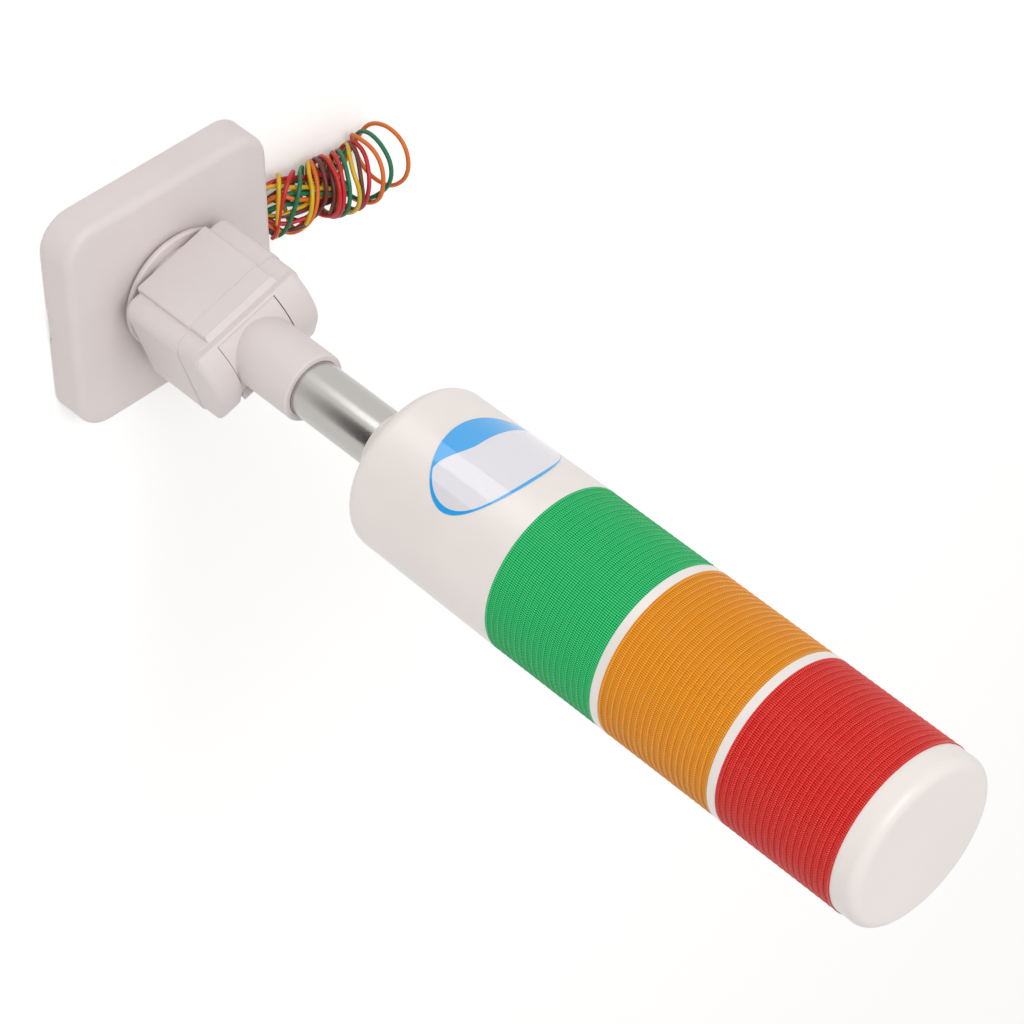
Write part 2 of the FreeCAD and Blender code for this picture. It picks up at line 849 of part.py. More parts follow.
def rating_label():
    """Thin oval film on the housing, bent round it."""
    taper_base = housing_base + housing_taper_start
    slope = (lamp_radius - housing_base_radius) / (housing_top - taper_base)
    gap = 0.02

    def skin(offset):
        low = label_centre - label_height
        high = label_centre + label_height
        low_radius = housing_base_radius + slope * (low - taper_base) + offset
        high_radius = housing_base_radius + slope * (high - taper_base) + offset
        return Part.makeCone(low_radius, high_radius, high - low, Vector(0, 0, low))

    film = skin(gap + label_thickness).cut(skin(gap))
    half_angle = label_width / 2 / lamp_radius
    half_chord = lamp_radius * math.sin(half_angle)
    oval = Part.Ellipse(Vector(0, 0, 0), half_chord, label_height / 2).toShape()
    oval = Part.Face(Part.Wire(oval)).extrude(Vector(0, 0, 2 * lamp_radius))
    oval.rotate(Vector(0, 0, 0), Vector(1, 0, 0), 90)
    oval.translate(Vector(0, 0, label_centre))
    oval.rotate(Vector(0, 0, 0), Vector(0, 0, 1), label_angle + 90)
    return film.common(oval)


# ---- wires -----------------------------------------------------------------------

wire_names = ("yellow", "red", "green", "orange", "brown")

# Route of each wire from the stud's bore, under the base, to the hank's near face.
wire_routes = {
    "yellow": [(0.6, -1.5, 12.9), (-1.9, -1.6, 5.2), (-9.6, -3.0, 2.1), (-18.3, -4.2, 1.2),
               (-27.1, -4.6, 1.5), (-32.4, -4.9, 2.5), (-hank_start, -4.9, 2.5)],
    "red": [(1.7, -0.75, 11.4), (-0.6, -0.8, 3.3), (-8.9, -1.6, 1.0), (-17.8, -2.2, 1.3),
            (-26.6, -2.3, 1.1), (-32.3, -2.5, 2.0), (-hank_start, -2.5, 2.0)],
    "green": [(0.6, 0.0, 12.7), (-2.0, 0.0, 5.0), (-9.8, 0.1, 2.3), (-18.6, 0.2, 1.1),
              (-27.3, -0.2, 1.4), (-32.5, 0.2, 2.8), (-hank_start, 0.2, 2.8)],
    "orange": [(1.7, 0.75, 11.5), (-0.7, 0.8, 3.4), (-9.2, 1.7, 1.1), (-18.0, 2.5, 1.2),
               (-26.8, 2.3, 1.5), (-32.3, 2.6, 2.2), (-hank_start, 2.6, 2.2)],
    "brown": [(0.6, 1.5, 12.8), (-2.0, 1.6, 5.3), (-9.7, 3.2, 2.2), (-18.4, 4.4, 1.3),
              (-27.2, 4.5, 1.2), (-32.4, 5.0, 2.4), (-hank_start, 5.0, 2.4)],
}


def wire_path(points):
    """Straight runs joined by arcs, each as large as its two runs allow."""
    corners = [Vector(*p) for p in points]
    edges = []
    radii = []
    start = corners[0]
    for before, corner, after in zip(corners, corners[1:], corners[2:]):
        back = before - corner
        ahead = after - corner
        shorter = min(back.Length, ahead.Length)
        turn = math.pi - back.getAngle(ahead)
        setback = 0.45 * shorter
        radius = setback / math.tan(turn / 2)
        back.normalize()
        ahead.normalize()
        arc_start = corner + back * setback
        arc_end = corner + ahead * setback
        middle_way = back + ahead
        middle_way.normalize()
        middle = corner + middle_way * (radius / math.cos(turn / 2) - radius)
        edges.append(Part.LineSegment(start, arc_start).toShape())
        edges.append(Part.Arc(arc_start, middle, arc_end).toShape())
        radii.append(radius)
        start = arc_end
    edges.append(Part.LineSegment(start, corners[-1]).toShape())
    return Part.Wire(edges), radii


def wire_tube(name):
    """Round tube along one wire's route."""
    path, radii = wire_path(wire_routes[name])
    start = path.Edges[0]
    direction = start.tangentAt(start.FirstParameter)
    section = Part.Wire(Part.Circle(path.Edges[0].Vertexes[0].Point, direction, wire_radius).toShape())
    tube = path.makePipeShell([section], True, True)
    expected = math.pi * wire_radius ** 2 * path.Length
    print(name, "length", round(path.Length, 1), "least radius", round(min(radii), 1),
          "volume ratio", round(tube.Volume / expected, 4))
    return tube


# Outer shape of the hank: (distance from its near face, sideways, height of its middle,
# half width, half height).
hank_sections = (
    (0.0, 0.4, 5.9, 11.4, 5.7),
    (5.0, 0.0, 7.4, 11.4, 7.2),
    (10.0, -0.4, 8.3, 10.5, 8.1),
    (14.0, 0.0, 7.8, 8.0, 7.2),
    (18.0, 0.3, 9.5, 10.3, 9.3),
    (24.0, 1.2, 10.1, 10.6, 9.8),
    (31.0, 1.9, 10.3, 10.0, 10.0),
    (36.0, 0.8, 10.6, 10.6, 10.3),
    (44.0, -0.3, 10.7, 10.4, 10.2),
)


def wire_hank():
    """Closed solid of the outer shape of the loosely wound hank, lying on the surface."""
    wires = []
    for along, sideways, height, half_width, half_height in hank_sections:
        half_width = max(half_width, half_height + 1e-3)
        oval = Part.Ellipse(Vector(0, 0, 0), half_width, half_height).toShape()
        oval.rotate(Vector(0, 0, 0), Vector(1, 0, 0), 90)
        oval.rotate(Vector(0, 0, 0), Vector(0, 0, 1), 90)
        oval.translate(Vector(-hank_start - along, sideways, height))
        wires.append(Part.Wire(oval))
    return Part.makeLoft(wires, True, True)


# ---- write every node ------------------------------------------------------------

def main():
    os.makedirs("parts", exist_ok=True)
    save("base_cover", base_cover())
    save("mounting_base", mounting_base())
    save("swivel_stud", swivel_stud())
    save("swivel_nut", swivel_nut())
    save("swivel_washer", swivel_washer())
    bracket_nodes = {
        "bracket_body": bracket_body(),
        "bracket_cover": bracket_cover(),
        "bracket_screws": bracket_screws(),
        "hinge_bolt": hinge_bolt(),
        "hinge_nut": hinge_nut(),
        "hinge_washers": hinge_washers(),
        "pole_holder": pole_holder(),
    }
    for name, solid in bracket_nodes.items():
        save(name, with_bracket(solid))
    save("pole_tube", pole_tube())
    save("pole_washer", pole_washer())
    save("pole_locknut", pole_locknut())
    save("lamp_housing", lamp_housing())
    save("rating_label", rating_label())
    save("driver_board", driver_board())
    save("driver_components", driver_components())
    save("base_disc", base_disc())
    for index, name in enumerate(lens_names):
        save("lens_" + name, lens(index))
        save("lamp_board_" + name, lamp_board(index))
        save("led_post_" + name, led_post(index))
        save("leds_" + name, leds(index))
    save("divider_disc_lower", divider_disc(1))
    save("divider_disc_upper", divider_disc(2))
    save("lens_seals", lens_seals())
    save("cap", cap())
    save("tie_rods", tie_rods())
    save("tie_rod_nuts", tie_rod_nuts())
    for name in wire_names:
        save("wire_" + name, wire_tube(name))
    save("wire_hank", wire_hank())


main()
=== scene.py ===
# %% [markdown]
# # A stack light in three colours
#
# This notebook dresses the model of a signal lamp: a square base, a folding bracket, a thin
# aluminium pole, a white housing and three ribbed lenses. The solids come ready made from the
# frame. What is left to Blender is the wires, the surfaces and the light.

# %% The frame
import math
import bpy
from mathutils import Matrix, Vector


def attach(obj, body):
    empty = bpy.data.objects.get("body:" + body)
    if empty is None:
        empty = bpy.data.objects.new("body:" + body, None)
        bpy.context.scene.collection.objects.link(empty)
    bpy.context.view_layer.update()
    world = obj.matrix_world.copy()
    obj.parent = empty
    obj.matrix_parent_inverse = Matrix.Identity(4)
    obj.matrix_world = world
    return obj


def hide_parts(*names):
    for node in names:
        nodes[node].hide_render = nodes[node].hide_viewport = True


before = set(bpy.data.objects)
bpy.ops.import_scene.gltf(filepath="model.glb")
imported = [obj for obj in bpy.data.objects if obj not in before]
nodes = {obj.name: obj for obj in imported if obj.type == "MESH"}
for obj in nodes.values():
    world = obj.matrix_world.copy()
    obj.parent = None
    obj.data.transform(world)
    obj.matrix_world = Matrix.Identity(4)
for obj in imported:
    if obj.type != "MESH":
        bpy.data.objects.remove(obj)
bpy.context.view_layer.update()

print("pieces that come with the frame:", len(nodes))

# %% [markdown]
# ## Millimetres and colours
#
# A lamp is drawn in millimetres, and Blender counts in metres, so one small helper turns a point.
# Colours are written as sRGB hex values, as paint charts give them, and a shader wants linear
# light, so another helper turns those.

# %% Two helpers
def metres(point):
    """A point in millimetres, turned to metres."""
    return tuple(value / 1000 for value in point)


def linear(hex_colour):
    """An sRGB hex colour as linear red, green, blue and full alpha."""
    parts = [int(hex_colour[k:k + 2], 16) / 255 for k in (1, 3, 5)]
    return [p / 12.92 if p <= 0.04045 else ((p + 0.055) / 1.055) ** 2.4 for p in parts] + [1.0]


print("mid grey is", [round(v, 3) for v in linear("#808080")])

# %% [markdown]
# ## The camera
#
# The lamp is seen from its front right, from thirty degrees above, through a long lens, and the
# picture is turned until the lamp lies along its diagonal. The camera's three axes are written as
# the columns of a matrix, because a turned camera is hard to give as three angles.

# %% The camera
right = (-0.7241, 0.0, 0.6897)
up = (-0.4915, -0.7016, -0.5160)
back = (0.4839, -0.7126, 0.5080)
camera_place = metres((503.7, -751.2, 674.5))
focal_length_mm = 142.7
sensor_width_mm = 36.0
nearest_seen_m = 0.05

camera_data = bpy.data.cameras.new("camera")
camera_data.lens = focal_length_mm
camera_data.sensor_width = sensor_width_mm
camera_data.clip_start = nearest_seen_m
camera = bpy.data.objects.new("camera", camera_data)
bpy.context.scene.collection.objects.link(camera)
turn = Matrix((right, up, back)).transposed().to_4x4()
camera.matrix_world = Matrix.Translation(camera_place) @ turn
bpy.context.scene.camera = camera
print("camera at", [round(v, 3) for v in camera_place])

# %% [markdown]
# ## The wires
#
# Five thin PVC wires leave the hollow stud under the base, run out under one side, and are wound
# loosely round themselves into a small hank that lies beside the base. Each wire is one smooth
# spline with a round bevel. Its first points follow the route under the base. After that the
# points are given by how far along the hank they lie, at what angle round it and how far out,
# because that is how a hand winds a wire.

# %% The hank's own form
# From the pole's axis to the hank's near face, and the wire over its insulation.
hank_start = 37.6
wire_diameter = 1.3

# Along the hank: distance, sideways, height of the middle, half width, half height.
hank_form = (
    (0.0, 0.5, 5.6, 10.6, 4.4),
    (5.0, 0.0, 7.2, 10.6, 6.2),
    (10.0, -0.4, 8.2, 9.6, 7.2),
    (14.0, 0.0, 7.6, 6.8, 6.2),
    (18.0, 0.2, 9.4, 9.4, 8.3),
    (24.0, 1.2, 10.0, 9.7, 8.9),
    (31.0, 2.0, 10.2, 9.0, 9.1),
    (36.0, 0.8, 10.6, 9.7, 9.5),
    (44.0, -0.3, 10.6, 9.5, 9.3),
)


def hank_section(along):
    """Middle and half sizes of the hank at one distance along it."""
    for near, far in zip(hank_form, hank_form[1:]):
        if along <= far[0]:
            break
    share = (along - near[0]) / (far[0] - near[0])
    share = max(0.0, min(1.0, share))
    return [a + share * (b - a) for a, b in zip(near[1:], far[1:])]


def on_hank(along, angle, out=1.0):
    """A point in millimetres by its place along, round and out from the hank's middle."""
    sideways, height, half_width, half_height = hank_section(along)
    turn = math.radians(angle)
    return (-hank_start - along,
            sideways + out * half_width * math.cos(turn),
            height + out * half_height * math.sin(turn))


def wound(knots, step=28.0):
    """Points about a step of degrees apart, from knot to knot of (along, angle, out)."""
    points = []
    for (a0, t0, o0), (a1, t1, o1) in zip(knots, knots[1:]):
        count = max(1, round(abs(t1 - t0) / step))
        for k in range(count):
            share = k / count
            points.append(on_hank(a0 + share * (a1 - a0), t0 + share * (t1 - t0),
                                  o0 + share * (o1 - o0)))
    points.append(on_hank(*knots[-1]))
    return points


print("the hank is", hank_form[-1][0], "mm long")

# %% [markdown]
# The leads' first points are the same ones that the solid leads follow. The knots after them give
# how far along the hank a wire is, at what angle round it and how far out. Each wire first runs
# out along the core, folds back, folds again beside the base and runs out to the far end. From
# there it is wound round the core, back towards the base.

# %% Where each wire goes
leads = {
    "yellow": [(0.6, -1.5, 12.9), (-1.9, -1.6, 5.2), (-9.6, -3.0, 2.1), (-18.3, -4.2, 1.2),
               (-27.1, -4.6, 1.5), (-32.4, -4.9, 2.5)],
    "red": [(1.7, -0.75, 11.4), (-0.6, -0.8, 3.3), (-8.9, -1.6, 1.0), (-17.8, -2.2, 1.3),
            (-26.6, -2.3, 1.1), (-32.3, -2.5, 2.0)],
    "green": [(0.6, 0.0, 12.7), (-2.0, 0.0, 5.0), (-9.8, 0.1, 2.3), (-18.6, 0.2, 1.1),
              (-27.3, -0.2, 1.4), (-32.5, 0.2, 2.8)],
    "orange": [(1.7, 0.75, 11.5), (-0.7, 0.8, 3.4), (-9.2, 1.7, 1.1), (-18.0, 2.5, 1.2),
               (-26.8, 2.3, 1.5), (-32.3, 2.6, 2.2)],
    "brown": [(0.6, 1.5, 12.8), (-2.0, 1.6, 5.3), (-9.7, 3.2, 2.2), (-18.4, 4.4, 1.3),
              (-27.2, 4.5, 1.2), (-32.4, 5.0, 2.4)],
}

# Out along the core, round a fold, back, round a fold at the base, and out to the far end.
core_runs = {
    "yellow": [(2, 190, 0.85), (6, 156, 0.8), (12, 148, 0.68), (18, 120, 0.6),
               (22, 110, 0.5), (24.6, 110, 0.21), (24.6, 290, 0.21), (22, 290, 0.5),
               (15, 285, 0.6), (8, 278, 0.6), (2.4, 275, 0.85), (-0.8, 275, 0.36),
               (-0.8, 95, 0.36), (2.4, 93, 0.85), (6, 97, 0.68), (10, 95, 0.6),
               (16, 110, 0.3), (22, 240, 0.3), (27.4, 262, 0.85)],
    "red": [(2, 205, 0.85), (6, 201, 0.85), (11, 196, 0.75), (16, 190, 0.6),
            (20, 190, 0.5), (22.6, 190, 0.21), (22.6, 10, 0.21), (20, 10, 0.5),
            (14, -2, 0.6), (8, -60, 0.62), (2.8, -100, 0.9), (-0.8, -108, 0.4),
            (-0.8, 72, 0.36), (2.4, 72, 0.88), (6, 72, 0.85), (10, 70, 0.85),
            (15, 80, 0.5), (21, 200, 0.2), (27, 252, 0.8)],
    "green": [(2, 150, 0.7), (6, 140, 0.75), (11, 128, 0.62), (18, 106, 0.6),
              (23, 100, 0.5), (25.6, 100, 0.21), (25.6, 280, 0.21), (23, 280, 0.5),
              (15, 296, 0.6), (8, 300, 0.7), (2.4, 300, 0.85), (-0.8, 300, 0.36),
              (-0.8, 120, 0.36), (2.4, 120, 0.8), (7, 108, 0.55), (13, 70, 0.3),
              (19, 330, 0.3), (25, 285, 0.5), (31, 268, 0.85)],
    "orange": [(2, 150, 0.85), (6, 122, 0.85), (10, 113, 0.68), (16, 96, 0.55),
               (21, 90, 0.45), (23.8, 90, 0.2), (23.6, 270, 0.21), (21, 270, 0.5),
               (14, 250, 0.7), (8, 236, 0.8), (2.4, 230, 0.85), (-0.8, 228, 0.36),
               (-0.8, 48, 0.36), (2.4, 48, 0.9), (6, 52, 0.95), (11, 40, 0.8),
               (18, 350, 0.5), (26, 300, 0.5), (32, 282, 0.8)],
    "brown": [(2, 40, 0.8), (6, 58, 1.0), (10, 58, 0.95), (15, 50, 0.6),
              (19, 45, 0.5), (21.6, 45, 0.21), (21.6, 225, 0.21), (19, 225, 0.5),
              (13, 240, 0.7), (8, 262, 0.75), (2.4, 272, 0.88), (-0.8, 272, 0.38),
              (-0.8, 92, 0.38), (2.4, 92, 0.88), (6, 92, 0.85), (10, 86, 0.7),
              (15, 70, 0.4), (20, 300, 0.2), (27, 262, 0.85)],
}

# From the far end back towards the base, with angles that keep running down past a full turn.
windings = {
    "yellow": [(31.2, 262, 1.0), (33.4, 248, 1.0), (33, 225, 1.0), (30.6, 200, 1.0),
               (27.6, 175, 1.0), (24.6, 140, 1.0),
               (24.2, 80, 1.0), (23.5, 20, 1.0), (25, -60, 1.0), (27, -110, 1.0),
               (23, -160, 0.72), (20.5, -225, 0.66), (19, -280, 0.7), (18.6, -330, 0.9),
               (19.4, -400, 1.0), (19.8, -455, 1.0), (18.6, -495, 1.0), (15, -538, 1.0),
               (12, -585, 1.02), (9.4, -625, 1.02), (8.2, -660, 1.0), (8, -720, 1.0),
               (10, -780, 1.0), (9, -840, 1.0), (6.8, -868, 1.0), (3.4, -920, 1.0),
               (1.6, -955, 1.0), (0.6, -990, 1.0), (1.5, -1050, 0.9)],
    "red": [(31, 252, 1.0), (33.4, 238, 1.0), (33.4, 205, 1.0), (32, 165, 1.0),
            (29.2, 127, 1.0), (27.4, 96, 1.0),
            (26.4, 60, 1.0), (26, 0, 1.0), (28, -60, 1.0), (28.4, -120, 1.0),
            (25.5, -157, 1.0), (22.6, -195, 1.0), (20.6, -225, 1.0), (19.4, -260, 1.0),
            (18.8, -300, 1.0), (18.6, -360, 1.0), (20.4, -430, 1.0), (22.4, -500, 1.0),
            (20.6, -545, 1.0), (19.3, -585, 1.0), (18.0, -618, 1.0), (17.4, -670, 1.0),
            (16, -740, 1.0), (14, -800, 1.0), (13.5, -850, 1.0), (10, -890, 1.0),
            (6.4, -915, 1.0), (3.4, -945, 1.0), (1.4, -975, 1.0), (0.6, -1010, 1.0),
            (1, -1060, 0.9)],
    "green": [(35.4, 264, 1.0), (38, 250, 1.02), (38.2, 222, 1.02), (37.2, 183, 1.02),
              (36.6, 150, 1.02), (36.2, 120, 1.02), (35, 90, 1.0), (33, 60, 0.9),
              (30, 20, 0.9), (29, -50, 1.0),
              (30, -110, 1.0), (28.2, -150, 1.0), (25, -189, 1.0), (22.6, -221, 1.0),
              (21.5, -251, 1.0), (20.8, -290, 1.0), (20, -340, 1.0), (18, -400, 1.0),
              (17.8, -460, 1.0), (16.4, -496, 1.0), (11.6, -540, 1.0), (8.4, -575, 1.0),
              (5.6, -605, 1.0), (3.8, -635, 1.0), (2.4, -665, 1.0), (1.6, -700, 0.9),
              (1.2, -740, 0.72)],
    "orange": [(36.2, 274, 1.0), (39.4, 258, 1.02), (40.8, 232, 1.04), (41.6, 205, 1.04),
               (42.4, 175, 1.02), (42.8, 140, 1.02), (42.2, 105, 1.02), (41.2, 70, 1.02),
               (40, 30, 1.0), (38.8, -30, 1.0), (38, -80, 1.0), (36.6, -115, 1.04),
               (34.8, -140, 1.1), (33.8, -165, 1.1), (34, -195, 1.06), (33.8, -222, 1.03),
               (33, -250, 1.02), (32, -285, 1.02), (31, -330, 1.0), (29, -390, 1.0),
               (24, -440, 0.9), (19.6, -490, 1.0), (17.4, -520, 1.0), (15.4, -560, 1.0),
               (14, -595, 1.0), (11.6, -628, 1.0), (9.4, -655, 1.0), (7.4, -690, 1.0),
               (5, -740, 1.0), (3, -800, 0.9)],
    "brown": [(31, 262, 1.0), (33.2, 248, 1.0), (33, 222, 1.0), (30.2, 174, 1.0),
              (27, 140, 1.0), (25.6, 110, 0.97), (25.6, 60, 0.95), (25.4, 0, 1.0), (25, -60, 1.0),
              (24, -120, 0.95), (22.6, -160, 0.85), (20, -195, 0.8), (18, -235, 0.8),
              (17, -290, 0.85), (18, -360, 0.95), (20, -440, 1.0), (20.4, -500, 1.0),
              (18, -545, 1.0), (16.2, -585, 1.0), (15.2, -620, 1.0), (14, -655, 1.0),
              (12, -700, 1.0), (8, -760, 0.95)],
}

print("wires:", ", ".join(leads))

# %% [markdown]
# A NURBS spline of order three pulls its curve inside its points, as a soft wire cuts its
# corners. The order and the end point setting are given after the points, because Blender trims
# them to what the spline has at that moment. The bevel is multiplied by each knot's radius, and a
# curve's box grows by that radius. With a radius of a thousandth the box fits the wire, and the
# bevel's depth is written in millimetres.

# %% The five wires
knot_radius = 0.001
steps_round = 4
steps_along = 4


def wire(name, points):
    """One wire as a smooth round spline through space."""
    curve = bpy.data.curves.new(name, "CURVE")
    curve.dimensions = "3D"
    curve.bevel_depth = wire_diameter / 2
    curve.bevel_resolution = steps_round
    curve.resolution_u = steps_along
    curve.use_fill_caps = True
    spline = curve.splines.new("NURBS")
    spline.points.add(len(points) - 1)
    for knot, point in zip(spline.points, points):
        knot.co = metres(point) + (1.0,)
        knot.radius = knot_radius
    spline.order_u = 3
    spline.use_endpoint_u = True
    piece = bpy.data.objects.new(name, curve)
    bpy.context.scene.collection.objects.link(piece)
    return piece


def spline_length(piece):
    """Length in metres of the smooth line, measured without its bevel."""
    bare = piece.copy()
    bare.data = piece.data.copy()
    bare.data.bevel_depth = 0.0
    mesh = bpy.data.meshes.new_from_object(bare)
    total = 0.0
    for a, b in zip(mesh.vertices, mesh.vertices[1:]):
        total += (b.co - a.co).length
    bpy.data.meshes.remove(mesh)
    bpy.data.objects.remove(bare)
    return total


wires = {}
for name, first in leads.items():
    route = first + [on_hank(*knot) for knot in core_runs[name]] + wound(windings[name])
    piece = wire("free_wire_" + name, route)
    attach(piece, "base")
    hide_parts("wire_" + name)
    long = spline_length(piece)
    wires[name] = piece
    print(name, "wire:", round(long * 1000), "mm,", len(route), "points")
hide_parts("wire_hank")

# %% [markdown]
# ## Surfaces
#
# One small function adds a shader node, sets its values and links its inputs. Every finish below
# is built with it, through a few others that take up what the finishes share.

# %% The node helpers
def add_node(material, kind, values=None, links=None, **settings):
    """Add one node with its settings, socket values and links, and return it."""
    node = material.node_tree.nodes.new(kind)
    for key, value in settings.items():
        setattr(node, key, value)
    for socket, value in (values or {}).items():
        node.inputs[socket].default_value = value
    for socket, source in (links or {}).items():
        material.node_tree.links.new(source, node.inputs[socket])
    return node


def finish(name, values):
    """A new material with a Principled shader, and the shader itself."""
    material = bpy.data.materials.new(name)
    material.use_nodes = True
    shader = material.node_tree.nodes["Principled BSDF"]
    for socket, value in values.items():
        shader.inputs[socket].default_value = value
    return material, shader


def connect(material, source, shader, socket):
    """Link an output to one of the shader's sockets."""
    material.node_tree.links.new(source, shader.inputs[socket])


def maths(material, operation, *inputs):
    """The result of one sum, whose inputs are numbers or the outputs of other nodes."""
    numbers = {k: v for k, v in enumerate(inputs) if isinstance(v, (int, float))}
    outputs = {k: v for k, v in enumerate(inputs) if k not in numbers}
    return add_node(material, "ShaderNodeMath", numbers, outputs, operation=operation).outputs[0]


def point_parts(material):
    """X, Y and Z of each point of a piece, in metres."""
    place = add_node(material, "ShaderNodeTexCoord")
    return add_node(material, "ShaderNodeSeparateXYZ",
                    links={"Vector": place.outputs["Object"]}).outputs


def colour_by(material, source, shader, *stops):
    """Base colour that follows a value through stops of (position, hex colour)."""
    ramp = add_node(material, "ShaderNodeValToRGB", links={"Fac": source})
    elements = ramp.color_ramp.elements
    for k, (position, colour) in enumerate(stops):
        element = elements[k] if k < 2 else elements.new(position)
        element.position = position
        element.color = linear(colour)
    connect(material, ramp.outputs["Color"], shader, "Base Color")


def raise_by(material, source, shader, strength, height_mm):
    """Bump that follows a value up to a height in millimetres."""
    bump = add_node(material, "ShaderNodeBump",
                    {"Strength": strength, "Distance": height_mm / 1000}, {"Height": source})
    connect(material, bump.outputs["Normal"], shader, "Normal")


def grain(material, size_mm, detail=2.0):
    """Noise whose grains are about that many millimetres across."""
    place = add_node(material, "ShaderNodeTexCoord")
    return add_node(material, "ShaderNodeTexNoise", {"Scale": 1000 / size_mm, "Detail": detail},
                    {"Vector": place.outputs["Object"]}).outputs["Fac"]


def paint(names, material):
    """Give a finish to the pieces of the frame that have it."""
    for name in names:
        mesh = nodes[name].data
        mesh.materials.clear()
        mesh.materials.append(material)


print("helpers ready")

# %% [markdown]
# ### Moulded ABS
#
# The base, the bracket and the housings are injection moulded ABS. It is a dense, slightly warm
# white with a spark eroded mould texture that is just fine enough to feel. The texture is a
# shallow bump of 0.5 mm grains, and a much larger, very weak cloud keeps the colour from being
# dead flat.

# %% Moulded ABS
def moulded_abs(name, pale, dark, roughness, grain_height_mm):
    """Off-white moulded ABS with a fine mould texture."""
    material, shader = finish(name, {"Roughness": roughness, "IOR": 1.53})
    cloud = grain(material, size_mm=30, detail=3.0)
    colour_by(material, cloud, shader, (0.3, dark), (0.7, pale))
    texture = grain(material, size_mm=0.5, detail=3.0)
    raise_by(material, texture, shader, 0.35, grain_height_mm)
    return material


bracket_abs = moulded_abs("moulded_abs_textured", "#E0D6D4", "#DBD1CF", roughness=0.5,
                          grain_height_mm=0.05)
housing_abs = moulded_abs("moulded_abs_fine", "#EDE6E1", "#E9E1DC", roughness=0.36,
                          grain_height_mm=0.02)
bracket_pieces = ["base_cover", "mounting_base", "bracket_body", "bracket_cover", "pole_holder"]
housing_pieces = ["lamp_housing", "base_disc", "divider_disc_lower", "divider_disc_upper", "cap"]
paint(bracket_pieces, bracket_abs)
paint(housing_pieces, housing_abs)
print("moulded ABS on", len(bracket_pieces + housing_pieces), "pieces")

# %% [markdown]
# ### Ribbed lens
#
# A lens is moulded from clear coloured polycarbonate. Ribs and finer rows run round it, and
# flutes run up it, so each small square between them throws light its own way and nothing inside
# can be made out. The ribs are in the solid. The rows and the flutes are two waves, one in the
# height and one in the angle round the pole, used as bump and to paint light into the colour:
# painted shade in the troughs, lighter squares of painted refraction light and painted glints on
# the crests.

# %% Ribbed lens
lens_colours = ("green", "amber", "red")
flutes_round = 256
ribbed_height_mm = 36.8
rows_per_lens = 54
row_pitch_mm = ribbed_height_mm / rows_per_lens
# The rows count for less than the flutes, whose own weight is one.
row_weight = 0.6


def ribbed_lens(name, painted_shade_tone, bright, painted_glint):
    """Coloured polycarbonate with a net of flutes and fine rows, and painted shade, light and
    glints on that net.
    """
    material, shader = finish(name, {"Roughness": 0.2, "IOR": 1.585, "Subsurface Weight": 0.15,
                                     "Subsurface Scale": 0.002, "Specular IOR Level": 0.12,
                                     "Coat Weight": 0.06, "Coat Roughness": 0.06})
    point = point_parts(material)
    angle = maths(material, "ARCTAN2", point["Y"], point["X"])
    flutes = maths(material, "SINE", maths(material, "MULTIPLY", angle, flutes_round))
    height = maths(material, "MULTIPLY", point["Z"], 2 * math.pi / (row_pitch_mm / 1000))
    rows = maths(material, "SINE", height)
    net = maths(material, "MULTIPLY_ADD", rows, row_weight, flutes)
    level = add_node(material, "ShaderNodeMapRange",
                     {"From Min": -1 - row_weight, "From Max": 1 + row_weight}, {"Value": net})
    # Painted light: the ramp turns the net into painted shade, painted refraction light and
    # painted glints.
    colour_by(material, level.outputs["Result"], shader,
              (0.05, painted_shade_tone), (0.6, bright), (0.95, painted_glint))
    raise_by(material, net, shader, 0.7, 0.2)
    return material


# The three colours of each lens: its painted shade in the troughs, its own colour as lit, and its
# painted glint.
paint(["lens_green"], ribbed_lens("green_polycarbonate", "#008C46", "#18D674", "#78ECB0"))
paint(["lens_amber"], ribbed_lens("amber_polycarbonate", "#E87E00", "#FFA20E", "#FFC868"))
paint(["lens_red"], ribbed_lens("red_polycarbonate", "#C40C10", "#EE2A26", "#FC665A"))
print("lenses:", ", ".join(lens_colours))

# %% [markdown]
# ### Anodised aluminium and plated steel
#
# The pole is drawn aluminium tube, blasted and anodised. It keeps a soft, slightly speckled
# shine: a fairly smooth metal with grains of 0.4 mm in its roughness and its bump. Screws, nuts
# and rods are zinc plated steel, with larger and lower grains.

# %% Anodised aluminium and plated steel
def bare_metal(name, colour, roughness, grain_mm, height_mm):
    """Metal with a fine grain in its shine and its surface."""
    material, shader = finish(name, {"Base Color": linear(colour), "Metallic": 1.0})
    texture = grain(material, grain_mm, 4.0)
    spread = add_node(material, "ShaderNodeMapRange",
                      {"To Min": roughness - 0.05, "To Max": roughness + 0.07},
                      {"Value": texture})
    connect(material, spread.outputs["Result"], shader, "Roughness")
    raise_by(material, texture, shader, 0.3, height_mm)
    return material


paint(["pole_tube"], bare_metal("anodised_aluminium", "#B5B2AF", roughness=0.19, grain_mm=0.4,
                                height_mm=0.08))
plated = bare_metal("bright_zinc_plate", "#C9CACC", roughness=0.26, grain_mm=0.8, height_mm=0.01)
paint(["swivel_stud", "swivel_nut", "bracket_screws", "hinge_bolt", "hinge_nut", "pole_washer",
       "pole_locknut", "tie_rods", "tie_rod_nuts"], plated)
print("metals ready")

# %% [markdown]
# ### The smaller finishes
#
# Nylon washers, rubber rings, circuit boards, resin and black parts are hidden when the lamp is
# whole, and still get the finish of the real thing. The wires' soft PVC is made here too.

# %% Smaller finishes
def plain_finish(name, pale, dark, roughness, grain_mm):
    """A dull or glossy finish with a weak cloud of two close colours."""
    material, shader = finish(name, {"Roughness": roughness})
    cloud = grain(material, grain_mm)
    colour_by(material, cloud, shader, (0.0, dark), (1.0, pale))
    raise_by(material, cloud, shader, 0.2, 0.03)
    return material


